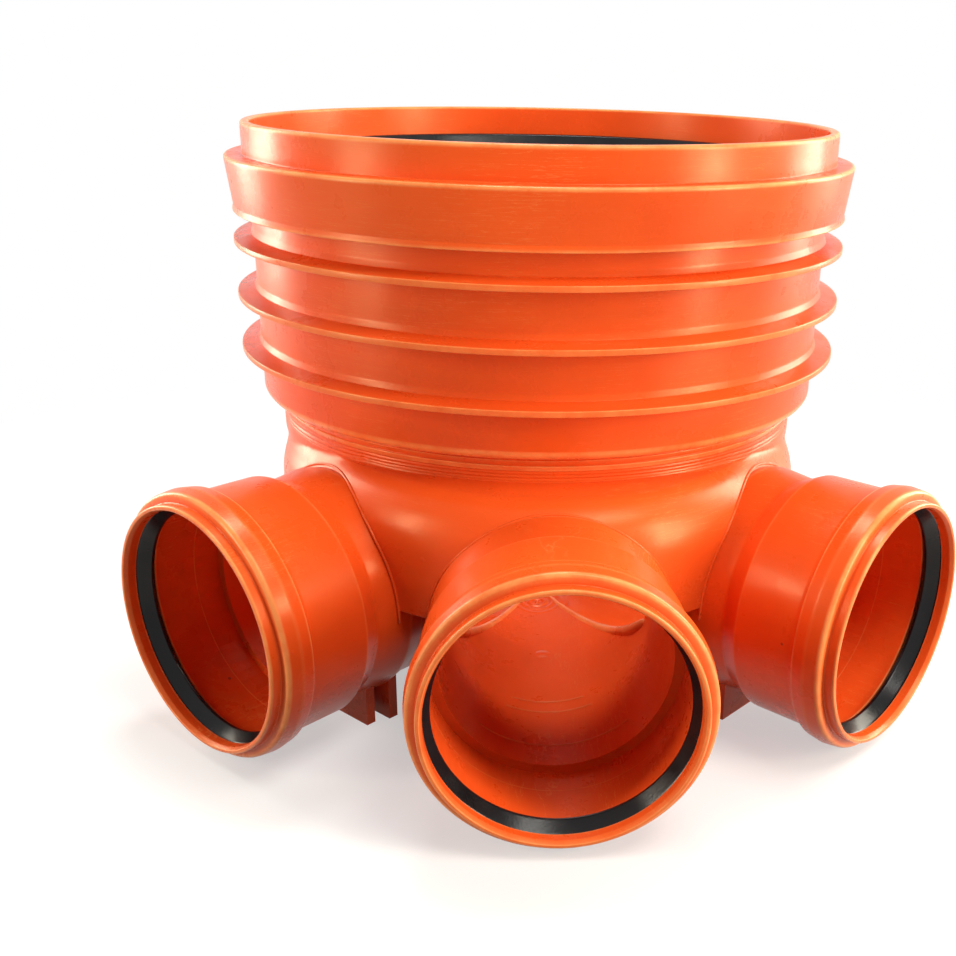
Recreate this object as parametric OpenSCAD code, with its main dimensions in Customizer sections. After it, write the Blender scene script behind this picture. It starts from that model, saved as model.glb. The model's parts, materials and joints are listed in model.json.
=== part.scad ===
// Drain inspection chamber: a channelled base with one straight-through pipe run and two side
// inlets, and a ribbed riser socket welded onto its neck. Every pipe socket holds a ring seal.
// Origin: on the floor, below the axis of the riser. +Z up, the outlet towards +Y.

/* [Pipes] */
// Outside diameter of the riser pipe
riser_pipe_d = 400; // [300:1:500]
// Outside diameter of the drain pipes
drain_pipe_d = 160; // [125:1:200]
// Radial gap between the riser pipe and its socket
riser_gap = 1; // [0.5:0.1:1.8]
// Radial gap between a drain pipe and its socket
drain_gap = 0.5; // [0.3:0.1:0.7]
// Wall of a drain pipe, which sets the radius of the channels
drain_pipe_wall = 5.6; // [4:0.1:8]
// Angle between the straight-through run and each side inlet
side_angle = 45; // [40:1:60]

/* [Walls] */
// Wall of the riser socket
riser_wall = 6.3; // [4:0.1:8]
// Wall of the dome, the well and the benching
base_wall = 5.5; // [4:0.1:7]
// Wall of the channels and necks
channel_wall = 4.4; // [3.5:0.1:6]

/* [Drain sockets] */
// Length of a socket from its mouth to the neck
socket_l = 88; // [70:1:110]
// Wall of the socket barrel
socket_wall = 5.5; // [4:0.1:7]
// Length of the thin lip that stands in front of the seal bead
lip_l = 7.5; // [5:0.5:10]
// Wall of the lip
lip_wall = 4.1; // [3:0.1:5]
// Length of the seal bead
bead_l = 21; // [18:1:28]
// How far the bead's crown stands out from the bore
bead_h = 11.9; // [10.5:0.1:14]
// Depth of the seal groove inside the bead
drain_groove_h = 7.8; // [6:0.1:8.5]
// Length of the seal groove
drain_groove_l = 14; // [11:0.5:16]
// Length of the sloping shoulder behind the barrel
shoulder_l = 10.5; // [6:0.5:15]
// Length of the neck between the dome and a side socket
side_neck_l = 25; // [15:1:40]
// Length of the neck between a nose of the dome and a straight-through socket
main_neck_l = 17; // [10:1:40]

/* [Dome] */
// How far the dome over the three inlets stands out at the sides, past the wall of the well
dome_out = 2.5; // [1:0.5:15]
// How far the dome's middle stands towards the inlets
dome_y = 27; // [15:1:40]
// Plan width of the dome's rounded shoulder
dome_round = 30; // [20:1:40]
// Height of the rounded shoulders of the dome and the noses
shoulder_h = 38; // [25:1:55]
// How far the two noses stand out from the wall of the well
nose_out = 54.5; // [45:0.5:70]
// Plan radius of each nose
nose_r = 165; // [140:1:180]
// Plan width of the rounding along the top of a nose
nose_round = 30; // [20:1:40]
// Height of the dome's roof above the necks
roof_rise = 6; // [4:0.5:15]
// Height of the body's open bottom edge above the channel axis
skirt_rise = 6.5; // [-10:0.5:15]
// Thickness of the keels under the channels
keel_t = 4; // [3:0.5:6]

/* [Well and benching] */
// Width of the seat that carries the riser pipe, which sets the well inside it
seat_w = 10; // [6:0.5:14]
// Height of the benching above the channel axis at the middle
bench_low = 8; // [4:1:20]
// Rise of the benching from the middle to the well's wall
bench_rise = 32; // [15:1:35]

/* [Feet] */
// Room between the floor and the crown of the seal beads
floor_gap = 2.6; // [1:0.1:20]
// Thickness of the foot plates
foot_t = 7.5; // [5:0.5:12]
// Distance between the two plates of a foot
foot_pitch = 17; // [13:1:25]
// Distance from the socket's shoulder to the outer foot plate
foot_set_back = 14; // [8:1:20]
// Half the width of the outer foot plate
foot_outer_half_w = 47; // [40:1:58]
// Half the width of the inner foot plate
foot_inner_half_w = 51.5; // [45:0.5:64]

/* [Riser socket] */
// Height of the weld neck on the base
weld_neck_h = 9.5; // [6:0.5:15]
// Height of the weld neck on the riser socket
weld_ring_h = 11; // [8:0.5:16]
// Wall of the weld neck
weld_wall = 8; // [5:0.5:9]
// Rounding along the foot of the barrel
foot_round = 9; // [4:0.5:12]
// Height of the first rib above the underside
first_rib_z = 35.3; // [30:0.1:60]
// Distance between ribs
rib_pitch = 38.4; // [30:0.1:50]
// Number of ribs
rib_count = 3; // [2:1:5]
// How far a rib stands out from the barrel
rib_out = 14; // [8:0.5:18]
// Thickness of a rib at its edge
rib_t = 3.8; // [3:0.1:6]
// How much a rib thickens towards the barrel
rib_slope = 3.4; // [1:0.1:6]
// Distance from the last rib to the collar
collar_gap = 20.7; // [15:0.1:40]
// Height of the collar
collar_h = 37.7; // [34:0.1:50]
// How far the collar stands out past the seal groove at its top
collar_wall = 9.1; // [7:0.1:12]
// How much the collar narrows towards its bottom
collar_taper = 4.4; // [2:0.1:5]
// Height of the rim above the collar
rim_h = 22; // [15:0.5:40]
// How much wider than the bore the rim opens, as a lead-in
lead_in = 9.2; // [5:0.1:12]
// How much wider than the bore the barrel is between its two guide lands
land_step = 5.5; // [3:0.1:7]
// Height of each guide land
land_h = 20; // [12:1:25]
// Depth of the riser's seal groove
riser_groove_h = 19.5; // [15:0.1:22]
// Height of the riser's seal groove
riser_groove_l = 24; // [20:0.5:26]

/* [Seals] */
// How far the seals stand out of the bores, once a pipe has pressed them back
riser_seal_proud = 0.6; // [0.2:0.1:0.8]
// The same for the drain sockets
drain_seal_proud = 0.3; // [0.1:0.1:0.3]
// Gap between a seal and its groove
seal_gap = 0.1; // [0.05:0.05:0.3]

/* [Hidden] */
$fn = 180;
orange = [0.93, 0.33, 0.13];
black = [0.06, 0.06, 0.065];
cut = 0.5;      // how far a cutting shape runs past the face that it cuts
arc_steps = 6;  // straight steps in a rounded corner of a revolved outline

// Drain sockets
drain_bore_r = drain_pipe_d / 2 + drain_gap;
flow_r = drain_pipe_d / 2 - drain_pipe_wall;
channel_r = flow_r + channel_wall;
neck_r = channel_r + 3.4;
bead_r = drain_bore_r + bead_h;
bead_end = lip_l + bead_l;
pipe_stop = socket_l - shoulder_l - 3;
drain_groove_start = lip_l + (bead_l - drain_groove_l) / 2 - 1.5;
drain_groove_r = drain_bore_r + drain_groove_h;
axis_z = bead_r + floor_gap;

// Riser socket and weld neck
riser_bore_r = riser_pipe_d / 2 + riser_gap;
well_r = riser_bore_r - seat_w;
weld_r = well_r + weld_wall;
barrel_in_r = riser_bore_r + land_step;
barrel_r = barrel_in_r + riser_wall;
riser_groove_r = riser_bore_r + riser_groove_h;
collar_top_r = riser_groove_r + collar_wall;
collar_bottom_r = collar_top_r - collar_taper;
rim_in_r = riser_bore_r + lead_in;
rim_r = rim_in_r + riser_wall;

// Heights
roof_z = axis_z + neck_r + roof_rise;
weld_z = roof_z + weld_neck_h;
underside_z = weld_z + weld_ring_h;
seat_z = underside_z + riser_wall;
last_rib_z = underside_z + first_rib_z + (rib_count - 1) * rib_pitch;
collar_z = last_rib_z + collar_gap;
ledge_z = collar_z + collar_h;
rim_z = ledge_z + rim_h;
riser_groove_top = ledge_z - riser_wall;
riser_groove_bottom = riser_groove_top - riser_groove_l;

// Plan of the dome and reach of the sockets
tub_r = well_r + base_wall;
dome_r = tub_r + dome_out;
nose_reach = tub_r + nose_out;
nose_y = nose_reach - nose_r;
dome_reach = dome_y * cos(side_angle) + sqrt(dome_r * dome_r - pow(dome_y * sin(side_angle), 2));
side_reach = dome_reach + side_neck_l + socket_l;
main_reach = nose_reach + main_neck_l + socket_l;
RUNS = [[0, main_reach], [-side_angle, side_reach], [side_angle, side_reach], [180, main_reach]];

// Points of a quarter ellipse about centre c, from its top to its outer side
function corner(c, rx, ry) =
    [for (i = [0:arc_steps]) [c[0] + rx * sin(90 * i / arc_steps), c[1] + ry * cos(90 * i / arc_steps)]];

// Puts a shape that is drawn along +Z from a socket's mouth inwards at its run
module at_mouth(run)
    rotate([0, 0, run[0]]) translate([0, -run[1], axis_z]) rotate([-90, 0, 0]) children();

// A foot plate or a keel: a block across or along a run, from the floor upwards
module block(run, near, far, half_w, top)
    rotate([0, 0, run[0]]) translate([-half_w, -far, 0]) cube([2 * half_w, far - near, top]);

// ---- base ----

// Round form with a rounded shoulder, on a plan radius about a middle on the straight run
module shouldered(r, y, round_w, inset, bottom) {
    top = roof_z - inset;
    ry = shoulder_h - inset;
    translate([0, y, 0]) rotate_extrude() polygon(concat([[0, bottom], [0, top]],
        corner([r - round_w, top - ry], round_w - inset, ry), [[r - inset, bottom]]));
}

// Solid form of the body: the tub round the well, the dome over the inlets and the two noses
module dome_form(inset, bottom) {
    translate([0, 0, bottom]) cylinder(r = tub_r - inset, h = roof_z - inset - bottom);
    shouldered(dome_r, -dome_y, dome_round, inset, bottom);
    for (side = [-1, 1])
        shouldered(nose_r, side * nose_y, nose_round, inset, bottom);
}

module dome_shell() difference() {
    dome_form(0, axis_z + skirt_rise);
    dome_form(base_wall, axis_z + skirt_rise - cut);
}

// Room inside a radius and above the benching, which falls in a shallow V towards the main run.
// Lowered by the wall it is the outside of the well, and as it stands the well's air.
module well_form(lowered, r, top) intersection() {
    middle = axis_z + bench_low - lowered;
    side = middle + bench_rise * tub_r / well_r;
    translate([0, 0, axis_z - cut]) cylinder(r = r, h = top - axis_z + cut);
    rotate([90, 0, 0]) linear_extrude(height = 2 * tub_r, center = true) polygon([
        [0, middle], [tub_r, side], [tub_r, top + cut], [-tub_r, top + cut], [-tub_r, side]]);
}

// Outside of a socket, its neck and its channel, revolved about the run's axis
module run_skin(run) at_mouth(run) {
    barrel = drain_bore_r + socket_wall;
    lip = drain_bore_r + lip_wall;
    crown = 1.4;    // how far the middle of the bead stands above its two edges
    edge = 1.2;     // rounding of the lip's and the bead's edges
    rotate_extrude() polygon(concat(
        [[0, 0], [lip - edge, 0], [lip, edge], [lip, lip_l], [bead_r - crown - edge, lip_l],
         [bead_r - crown, lip_l + edge]],
        [for (i = [1:7]) [bead_r - crown * pow(1 - i / 4, 2), lip_l + edge + (bead_l - 2 * edge) * i / 8]],
        [[bead_r - crown - 0.3, bead_end - edge], [bead_r - crown - 1.8, bead_end],
         [barrel + 0.6, bead_end + 1.4], [barrel, bead_end + 3],
         [barrel - 0.4, socket_l - shoulder_l - 3], [barrel - 1.6, socket_l - shoulder_l],
         [channel_r + 0.6, socket_l - 0.6], [channel_r, socket_l + 0.6],
         [neck_r, socket_l + 28], [channel_r, socket_l + 42],
         [channel_r, run[1]], [0, run[1]]]));
}

// Inside of a socket: lead-in, bore, seal groove and the flow bore behind the pipe stop
module run_bore(run) at_mouth(run) {
    translate([0, 0, -cut]) cylinder(r = drain_bore_r, h = pipe_stop + cut);
    translate([0, 0, -cut]) cylinder(r = flow_r, h = run[1] + cut);
    translate([0, 0, -cut]) cylinder(r1 = drain_bore_r + 1.5 + cut, r2 = drain_bore_r, h = 2 + cut);
    translate([0, 0, drain_groove_start]) cylinder(r = drain_groove_r, h = drain_groove_l);
}

// Upright cheeks that raise a half-pipe channel to the benching
module cheeks(run) intersection() {
    block(run, 0, run[1], channel_r - 1, axis_z + bench_low + bench_rise);
    translate([0, 0, axis_z]) cylinder(r = well_r + base_wall / 2, h = bench_low + bench_rise);
}

// Air between a channel's cheeks
module channel_air(run) intersection() {
    block(run, 0, run[1], flow_r - 0.3, roof_z);
    translate([0, 0, axis_z]) cylinder(r = well_r, h = roof_z - axis_z);
}

// Two foot plates under a neck and the keel that runs from them under the channel
module foot(run) {
    outer_face = run[1] - socket_l - foot_set_back;
    block(run, outer_face - foot_t, outer_face, foot_outer_half_w, axis_z - foot_outer_half_w);
    block(run, outer_face - foot_pitch - foot_t, outer_face - foot_pitch, foot_inner_half_w,
          axis_z - foot_inner_half_w * 0.8);
    block(run, channel_r, outer_face - foot_t, keel_t / 2, axis_z - flow_r - channel_wall / 2);
}

module base() color(orange) difference() {
    union() {
        dome_shell();
        well_form(base_wall, well_r + base_wall, roof_z - 1);
        translate([0, 0, roof_z - base_wall]) cylinder(r = weld_r, h = weld_z - roof_z + base_wall);
        for (run = RUNS) {
            run_skin(run);
            cheeks(run);
            foot(run);
        }
    }
    well_form(0, well_r, weld_z + cut);
    for (run = RUNS) {
        channel_air(run);
        run_bore(run);
    }
}

// ---- riser socket ----

// Outline of one rib, from its lower root to its upper root
function rib_points(z) = [
    [barrel_r, z - rib_t / 2 - 1.5], [barrel_r + 1.5, z - rib_t / 2], [barrel_r + rib_out - 0.6, z - rib_t / 2],
    [barrel_r + rib_out, z - rib_t / 2 + 0.6], [barrel_r + rib_out, z + rib_t / 2 - 0.6],
    [barrel_r + rib_out - 0.6, z + rib_t / 2], [barrel_r + 1.2, z + rib_t / 2 + rib_slope],
    [barrel_r + 0.3, z + rib_t / 2 + rib_slope + 1.2], [barrel_r, z + rib_t / 2 + rib_slope + 3.4]];

module riser_socket() color(orange) {
    foot_arc = [for (i = [0:arc_steps]) [barrel_r - foot_round * (1 - cos(90 * (i / arc_steps - 1))),
                underside_z + foot_round * (1 + sin(90 * (i / arc_steps - 1)))]];
    ribs = [for (i = [0:rib_count - 1]) each rib_points(underside_z + first_rib_z + i * rib_pitch)];
    rotate_extrude() polygon(concat(
        // outside, from the weld upwards
        [[weld_r, weld_z], [weld_r + 1.5, underside_z]],
        foot_arc, ribs,
        [[barrel_r, collar_z], [collar_bottom_r + 0.9, collar_z], [collar_bottom_r + 1.3, collar_z + 1],
         [collar_bottom_r, collar_z + 3.2], [collar_top_r - 0.2, ledge_z - 2.5], [collar_top_r - 1, ledge_z - 0.6],
         [collar_top_r - 2.4, ledge_z], [rim_r + 1, ledge_z + 0.6], [rim_r, ledge_z + 1.8],
         [rim_r, rim_z - 2], [rim_r - 0.6, rim_z - 0.6], [rim_r - 2, rim_z]],
        // inside, from the rim down to the seat and the weld
        [[rim_in_r + 1.2, rim_z], [rim_in_r, rim_z - 1.2], [rim_in_r - 1.7, riser_groove_top],
         [riser_groove_r, riser_groove_top], [riser_groove_r, riser_groove_bottom],
         [riser_bore_r, riser_groove_bottom], [riser_bore_r, riser_groove_bottom - land_h],
         [barrel_in_r, riser_groove_bottom - land_h - land_step],
         [barrel_in_r, seat_z + land_h + land_step], [riser_bore_r, seat_z + land_h],
         [riser_bore_r, seat_z], [well_r, seat_z], [well_r, weld_z]]));
}

// ---- seals ----

// Ring for the riser: a heel in the groove and a collar that rises inside the rim
module riser_seal() color(black) {
    out_r = riser_groove_r - seal_gap;
    in_r = riser_bore_r - riser_seal_proud;
    low = riser_groove_bottom + seal_gap;
    high = riser_groove_top - seal_gap;
    collar_out_r = rim_in_r - 1.7 - seal_gap;
    rotate_extrude() polygon([
        [out_r - 1, low], [out_r, low + 1], [out_r, high - 1], [out_r - 1, high], [collar_out_r, high],
        [collar_out_r, ledge_z - 0.5], [collar_out_r - 1, ledge_z], [collar_out_r - 3.6, ledge_z - 1.6],
        [in_r, high - 4], [in_r, high - 10], [in_r + 5, high - 13], [in_r + 5, low + 4], [in_r + 4, low]]);
}

// Ring for a drain socket: a heel in the groove and a sloping lip towards the mouth
module drain_seal(run) color(black) at_mouth(run) {
    out_r = drain_groove_r - seal_gap;
    in_r = drain_bore_r - drain_seal_proud;
    near = drain_groove_start + seal_gap;
    far = drain_groove_start + drain_groove_l - seal_gap;
    rotate_extrude() polygon([
        [in_r + 1.6, near], [out_r - 1, near], [out_r, near + 1], [out_r, far - 1], [out_r - 1, far],
        [in_r + 1.2, far], [in_r, far - 1.6], [in_r, far - 5], [in_r + 1.2, near + 4]]);
}

module front_inlet_seal() drain_seal(RUNS[0]);
module left_inlet_seal() drain_seal(RUNS[1]);
module right_inlet_seal() drain_seal(RUNS[2]);
module outlet_seal() drain_seal(RUNS[3]);

base();
riser_socket();
riser_seal();
front_inlet_seal();
left_inlet_seal();
right_inlet_seal();
outlet_seal();
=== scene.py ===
"""Look of a drain inspection chamber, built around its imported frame.

The riser socket, the socket ends, the ring seals, the hood over the inlets and the small marks are
surfaces worked out with numpy. The well, the channels and the feet are a copy of the frame's own solid,
merged, cut back to where the socket ends begin and given smooth normals. The scene is in metres, +Z up,
with the outlet towards +Y. Outlines and the hood are worked out in millimetres.
"""

import json
import math

import bmesh
import bpy
import mathutils
import numpy as np
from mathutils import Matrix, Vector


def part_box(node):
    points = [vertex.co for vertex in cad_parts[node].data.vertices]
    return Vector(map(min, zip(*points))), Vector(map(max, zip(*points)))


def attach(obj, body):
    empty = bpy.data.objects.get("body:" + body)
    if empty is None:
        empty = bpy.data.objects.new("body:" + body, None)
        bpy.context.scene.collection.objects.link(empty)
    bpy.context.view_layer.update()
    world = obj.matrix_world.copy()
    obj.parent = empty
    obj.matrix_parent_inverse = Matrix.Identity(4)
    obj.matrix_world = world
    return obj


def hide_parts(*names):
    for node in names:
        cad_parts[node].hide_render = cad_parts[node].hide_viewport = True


bl_info = {
    "name": "Drain Inspection Chamber",
    "version": (1, 0, 0),
    "blender": (4, 5, 0),
    "location": "3D View > Sidebar > Drain Chamber",
    "description": "Surfaces, finishes, floor and light for a plastic drain inspection chamber",
    "category": "Object",
}

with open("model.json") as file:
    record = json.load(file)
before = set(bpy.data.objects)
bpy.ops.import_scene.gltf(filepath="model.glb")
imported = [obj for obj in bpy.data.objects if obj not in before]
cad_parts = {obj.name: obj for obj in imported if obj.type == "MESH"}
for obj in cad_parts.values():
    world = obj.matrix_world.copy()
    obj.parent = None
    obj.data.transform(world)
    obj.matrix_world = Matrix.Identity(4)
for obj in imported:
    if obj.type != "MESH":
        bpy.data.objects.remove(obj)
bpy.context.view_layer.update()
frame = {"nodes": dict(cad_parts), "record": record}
MM = 0.001
MOUNTS = {mount["name"]: mount for mount in frame["record"]["mounts"]}
RISER_LOW, RISER_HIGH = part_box("riser_socket")
BASE_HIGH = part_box("base")[1]

# Heights that everything else is set out from
RIM_Z = RISER_HIGH[2]
WELD_Z = RISER_LOW[2]
AXIS_Z = MOUNTS["front_inlet"]["pos_m"][2]
RISER_BORE_R = MOUNTS["riser_bore"]["dims"]["r_mm"] * MM
DRAIN_BORE_R = MOUNTS["front_inlet"]["dims"]["r_mm"] * MM

# Detail of the round pieces, the bend in degrees that counts as a whole edge, and thin tubes' radii
FULL_BEND = 12.0
SOCKET_TURNS = 192
HOOD_TURNS = 720
SEAM_R = 1.1 * MM
MARK_R = 0.8 * MM

# Each run: name, turn about Z in degrees, distance from the riser's axis to the socket's mouth
MAIN_REACH = BASE_HIGH[1]
SOCKET_STOP = MAIN_REACH - MOUNTS["outlet"]["pos_m"][1] + MOUNTS["outlet"]["dims"]["length_mm"] * MM / 2
SIDE_REACH = (
    math.hypot(*MOUNTS["left_inlet"]["pos_m"][:2])
    + SOCKET_STOP
    - MOUNTS["left_inlet"]["dims"]["length_mm"] * MM / 2
)
RUNS = (
    ("front_inlet", 0.0, MAIN_REACH),
    ("left_inlet", -45.0, SIDE_REACH),
    ("right_inlet", 45.0, SIDE_REACH),
    ("outlet", 180.0, MAIN_REACH),
)


# ---------------------------------------------------------------- sizes and colours


class ChamberSizes(bpy.types.PropertyGroup):
    """Sizes of the details that the frame leaves to this script."""

    turns: bpy.props.IntProperty(
        name="Segments", description="Flat steps round a revolved surface", default=288, min=48, max=480
    )
    socket_cut: bpy.props.FloatProperty(
        name="Socket end length",
        description="How far from its mouth a socket is a surface of its own",
        default=0.055,
        unit="LENGTH",
    )
    seal_lean: bpy.props.FloatProperty(
        name="Seal lean",
        description="How far a free drain seal's lip leans in past the bore",
        default=0.0035,
        unit="LENGTH",
    )
    riser_seal_lean: bpy.props.FloatProperty(
        name="Riser seal lean",
        description="How far the free riser seal's lip leans in past the bore",
        default=0.005,
        unit="LENGTH",
    )


class ChamberColours(bpy.types.PropertyGroup):
    """Colours of the plastic, the rubber and the floor."""

    plastic: bpy.props.FloatVectorProperty(
        name="Plastic",
        description="Colour of the moulded polypropylene",
        subtype="COLOR",
        size=3,
        default=(0.74, 0.084, 0.011),
        min=0.0,
        max=1.0,
    )
    rubber: bpy.props.FloatVectorProperty(
        name="Rubber",
        description="Colour of the ring seals",
        subtype="COLOR",
        size=3,
        default=(0.006, 0.006, 0.007),
        min=0.0,
        max=1.0,
    )
    floor: bpy.props.FloatVectorProperty(
        name="Floor",
        description="Colour of the floor",
        subtype="COLOR",
        size=3,
        default=(0.88, 0.88, 0.88),
        min=0.0,
        max=1.0,
    )


# ---------------------------------------------------------------- surfaces


def rounded(corners, steps=6):
    """Outline with its corners rounded: each corner (u, v, radius) becomes an arc that is tangent to
    both of its sides, or stays a point where its radius is nought. The outline is a closed loop."""
    points = np.array([c[:2] for c in corners], float)
    radii = [c[2] if len(c) > 2 else 0.0 for c in corners]
    before, after = np.roll(points, 1, axis=0), np.roll(points, -1, axis=0)
    out = []
    for p, a, b, r in zip(points, before, after, radii):
        to_a, to_b = (a - p) / np.linalg.norm(a - p), (b - p) / np.linalg.norm(b - p)
        turn = math.acos(np.clip(np.dot(to_a, to_b), -1, 1))
        if r <= 0 or turn > math.pi - 1e-3:
            out.append(p[None])
            continue
        reach = min(r / math.tan(turn / 2), 0.49 * np.linalg.norm(a - p), 0.49 * np.linalg.norm(b - p))
        r = reach * math.tan(turn / 2)
        middle = (to_a + to_b) / np.linalg.norm(to_a + to_b)
        centre = p + middle * r / math.sin(turn / 2)
        start, end = p + to_a * reach - centre, p + to_b * reach - centre
        angle = math.acos(np.clip(np.dot(start, end) / r**2, -1, 1))
        t = np.linspace(0, 1, steps + 1)[:, None]
        arc = (np.sin((1 - t) * angle) * start + np.sin(t * angle) * end) / math.sin(angle)
        out.append(centre + arc)
    return guarded(np.vstack(out)) * MM


def guarded(outline, inset=0.9):
    """Outline with two more points on each long side, just inside its ends, so that what belongs to a
    corner stays at the corner."""
    ahead = np.roll(outline, -1, axis=0) - outline
    length = np.linalg.norm(ahead, axis=1, keepdims=True)
    step = ahead / np.maximum(length, 1e-9) * inset
    trio = np.stack([outline, outline + step, outline + ahead - step], 1).reshape(-1, 2)
    keep = np.repeat(length > 3.5 * inset, 3, axis=1)
    keep[:, 0] = True
    return trio[keep.ravel()]


def mesh_object(name, vertices, faces):
    """A mesh object at the origin from arrays of vertices and quads."""
    mesh = bpy.data.meshes.new(name)
    mesh.vertices.add(len(vertices))
    mesh.vertices.foreach_set("co", np.asarray(vertices, np.float32).ravel())
    mesh.loops.add(faces.size)
    mesh.loops.foreach_set("vertex_index", faces.astype(np.int32).ravel())
    mesh.polygons.add(len(faces))
    mesh.polygons.foreach_set("loop_start", np.arange(0, faces.size, faces.shape[1], dtype=np.int32))
    mesh.update(calc_edges=True)
    mesh.validate()
    piece = bpy.data.objects.new(name, mesh)
    bpy.context.scene.collection.objects.link(piece)
    return piece


def smooth(piece, sharp_degrees=40.0):
    """Shades a piece smooth, with edges sharper than an angle kept crisp."""
    mesh = piece.data
    mesh.polygons.foreach_set("use_smooth", np.ones(len(mesh.polygons), bool))
    mesh.set_sharp_from_angle(angle=math.radians(sharp_degrees))


def revolve(name, outline, segments, place=None):
    """Closed surface of revolution: the closed outline (r, h) is carried round the axis, so a point is
    (r cos t, r sin t, h), and place then turns and moves it. Faces point out of the outline's body. The
    attribute edge, which paints a highlight on the plastic, is one where the outline bends outwards by
    FULL_BEND degrees, and nought on flats."""
    r, h = outline[:, 0], outline[:, 1]
    area = np.sum(r * np.roll(h, -1) - np.roll(r, -1) * h)
    if area < 0:
        r, h = r[::-1], h[::-1]
    t = np.linspace(0, 2 * math.pi, segments, endpoint=False)[:, None]
    grid = np.stack([r * np.cos(t), r * np.sin(t), h + 0 * t], -1)
    vertices = grid.reshape(-1, 3)
    if place is not None:
        vertices = vertices @ place[:3, :3].T + place[:3, 3]
    i, j = np.meshgrid(np.arange(segments), np.arange(len(r)), indexing="ij")
    i2, j2 = (i + 1) % segments, (j + 1) % len(r)
    n = len(r)
    faces = np.stack([i * n + j, i2 * n + j, i2 * n + j2, i * n + j2], -1).reshape(-1, 4)
    piece = mesh_object(name, vertices, faces)
    outline_at = r + 1j * h
    to, back = np.roll(outline_at, -1) - outline_at, outline_at - np.roll(outline_at, 1)
    bend = np.clip(np.degrees(np.angle(to / back)) / FULL_BEND, 0.0, 1.0)
    mark_edge(piece, np.tile(bend, segments))
    return piece


def mark_edge(piece, values):
    """Writes the attribute edge, one number for all or one a vertex, which paints a highlight on the
    plastic by making it paler.
    """
    edge = piece.data.attributes.new("edge", "FLOAT", "POINT")
    values = np.broadcast_to(values, len(piece.data.vertices))
    edge.data.foreach_set("value", values.astype(np.float32))


def lofted(name, grid, round_rows=False):
    """Surface over a grid of points. Each row is a closed ring, and the last row is joined to the first
    where the rows go round too. Doubled points, as at a pole, are merged."""
    rows, columns = grid.shape[:2]
    i, j = np.meshgrid(np.arange(rows - (not round_rows)), np.arange(columns), indexing="ij")
    i2, j2 = (i + 1) % rows, (j + 1) % columns
    corners = [i * columns + j, i * columns + j2, i2 * columns + j2, i2 * columns + j]
    piece = mesh_object(name, grid.reshape(-1, 3), np.stack(corners, -1).reshape(-1, 4))
    body = bmesh.new()
    body.from_mesh(piece.data)
    bmesh.ops.remove_doubles(body, verts=body.verts, dist=2e-7)
    bmesh.ops.recalc_face_normals(body, faces=body.faces)
    body.to_mesh(piece.data)
    body.free()
    return piece


def tube(name, path, radius, sides=12):
    """Round tube along a path: each point is p + r (cos a n + sin a b), with n and b square to the path.
    The radius is one number, or one for each point, and falls to nought at both ends like a quarter
    circle."""
    path = np.asarray(path, float)
    along = np.gradient(path, axis=0)
    length = np.r_[0.0, np.cumsum(np.linalg.norm(np.diff(path, axis=0), axis=1))]
    near_end = np.minimum(length, length[-1] - length) / (4.0 * np.max(radius))
    r = radius * np.sqrt(np.maximum(1.0 - (1.0 - np.minimum(near_end, 1.0)) ** 2, 0.0))
    along /= np.linalg.norm(along, axis=1, keepdims=True)
    side = np.cross(along, np.array([0.02, 0.03, 1.0]))
    side /= np.linalg.norm(side, axis=1, keepdims=True)
    over = np.cross(side, along)
    a = np.linspace(0, 2 * math.pi, sides, endpoint=False)[None, :, None]
    grid = path[:, None] + r[:, None, None] * (np.cos(a) * side[:, None] + np.sin(a) * over[:, None])
    piece = lofted(name, grid)
    smooth(piece, 80.0)
    return piece


def at_mouth(turn, reach):
    """Place of a socket's own axes: h runs inwards along the run from the middle of its mouth."""
    a = math.radians(turn)
    outwards = np.array([math.sin(a), -math.cos(a), 0.0])
    sideways = np.array([math.cos(a), math.sin(a), 0.0])
    up = np.array([0.0, 0.0, 1.0])
    place = np.eye(4)
    place[:3, 0], place[:3, 1], place[:3, 2] = up, sideways, -outwards
    if np.linalg.det(place[:3, :3]) < 0:
        place[:3, 1] = -sideways
    place[:3, 3] = outwards * reach + up * AXIS_Z
    return place


def settle(piece, slot, material, *nodes):
    """Fixes a piece to the chamber, gives it its finish and hides the nodes that it stands for. The slot
    is not used.
    """
    piece.data.materials.clear()
    piece.data.materials.append(material)
    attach(piece, "root")
    if nodes:
        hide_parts(*nodes)
    return piece


# ---------------------------------------------------------------- finishes


class Shader:
    """Short ways to add and join a material's nodes."""

    def __init__(self, name):
        self.material = bpy.data.materials.new(name)
        self.material.use_nodes = True
        self.nodes = self.material.node_tree.nodes
        self.links = self.material.node_tree.links
        self.surface = self.nodes["Principled BSDF"]

    def add(self, kind, **inputs):
        node = self.nodes.new(kind)
        for key, value in inputs.items():
            if key in node.inputs:
                if isinstance(value, bpy.types.NodeSocket):
                    self.links.new(value, node.inputs[key])
                else:
                    node.inputs[key].default_value = value
            else:
                setattr(node, key, value)
        return node

    def join(self, output, target):
        self.links.new(output, target)

    def ramp(self, value, stops):
        """Maps a value through a colour ramp of (position, grey or colour)."""
        node = self.nodes.new("ShaderNodeValToRGB")
        self.links.new(value, node.inputs["Fac"])
        elements = node.color_ramp.elements
        while len(elements) < len(stops):
            elements.new(0.5)
        for element, (position, colour) in zip(elements, stops):
            element.position = position
            element.color = (colour,) * 3 + (1,) if isinstance(colour, (int, float)) else (*colour, 1)
        return node.outputs["Color"]


def noise(shader, vector, scale, detail=2.0, roughness=0.5):
    """Noise of a size over a vector."""
    node = shader.add("ShaderNodeTexNoise", Scale=scale, Detail=detail, Roughness=roughness)
    shader.join(vector, node.inputs["Vector"])
    return node.outputs["Fac"]


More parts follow.
